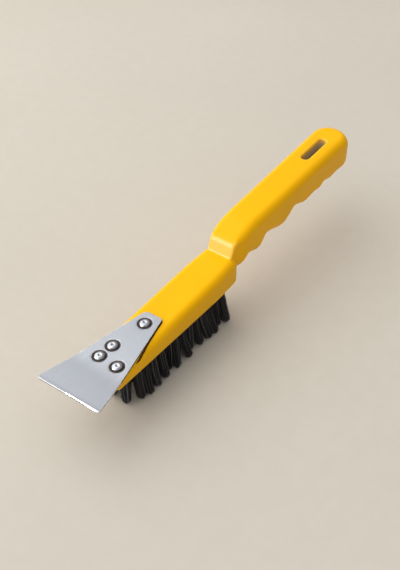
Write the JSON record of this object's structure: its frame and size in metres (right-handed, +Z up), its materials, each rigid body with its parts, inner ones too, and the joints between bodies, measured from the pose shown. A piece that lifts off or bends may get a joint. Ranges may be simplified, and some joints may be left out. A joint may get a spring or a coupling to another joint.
{
  "type": "wire brush",
  "caption": "Hand wire brush: moulded plastic block with a stepped neck and finger grip, hang slot, riveted trapezoid steel scraper blade on the nose, and wire tufts underneath.",
  "frame": {"origin": "Middle of the bounding box's underside, on the plane that the bristle tips rest on.", "axes": "+X runs from the blade's edge to the grip's end, +Y is to the left and +Z is up."},
  "size_m": [0.2925, 0.0454, 0.0698],
  "materials": {
    "yellow_plastic": "satin",
    "blade_steel": "satin",
    "rivet_steel": "bright",
    "dark_wire": "dark tempered"
  },
  "bodies": {
    "root": {"handle_block": "yellow_plastic", "scraper_blade": "blade_steel", "rivet_front_left": "rivet_steel", "rivet_front_right": "rivet_steel", "rivet_middle_left": "rivet_steel", "rivet_rear": "rivet_steel", "tuft_right_01": "dark_wire", "tuft_right_02": "dark_wire", "tuft_right_03": "dark_wire", "tuft_right_04": "dark_wire", "tuft_right_05": "dark_wire", "tuft_right_06": "dark_wire", "tuft_right_07": "dark_wire", "tuft_right_08": "dark_wire", "tuft_right_09": "dark_wire", "tuft_right_10": "dark_wire", "tuft_right_11": "dark_wire", "tuft_right_12": "dark_wire", "tuft_right_13": "dark_wire", "tuft_right_14": "dark_wire", "tuft_middle_02": "dark_wire", "tuft_middle_03": "dark_wire", "tuft_middle_04": "dark_wire", "tuft_middle_05": "dark_wire", "tuft_middle_06": "dark_wire", "tuft_middle_07": "dark_wire", "tuft_middle_08": "dark_wire", "tuft_middle_09": "dark_wire", "tuft_middle_10": "dark_wire", "tuft_middle_11": "dark_wire", "tuft_middle_12": "dark_wire", "tuft_middle_13": "dark_wire", "tuft_middle_14": "dark_wire", "tuft_left_01": "dark_wire", "tuft_left_02": "dark_wire", "tuft_left_03": "dark_wire", "tuft_left_04": "dark_wire", "tuft_left_05": "dark_wire", "tuft_left_06": "dark_wire", "tuft_left_07": "dark_wire", "tuft_left_08": "dark_wire", "tuft_left_09": "dark_wire", "tuft_left_10": "dark_wire", "tuft_left_11": "dark_wire", "tuft_left_12": "dark_wire", "tuft_left_13": "dark_wire", "tuft_left_14": "dark_wire"}
  },
  "joints": []
}
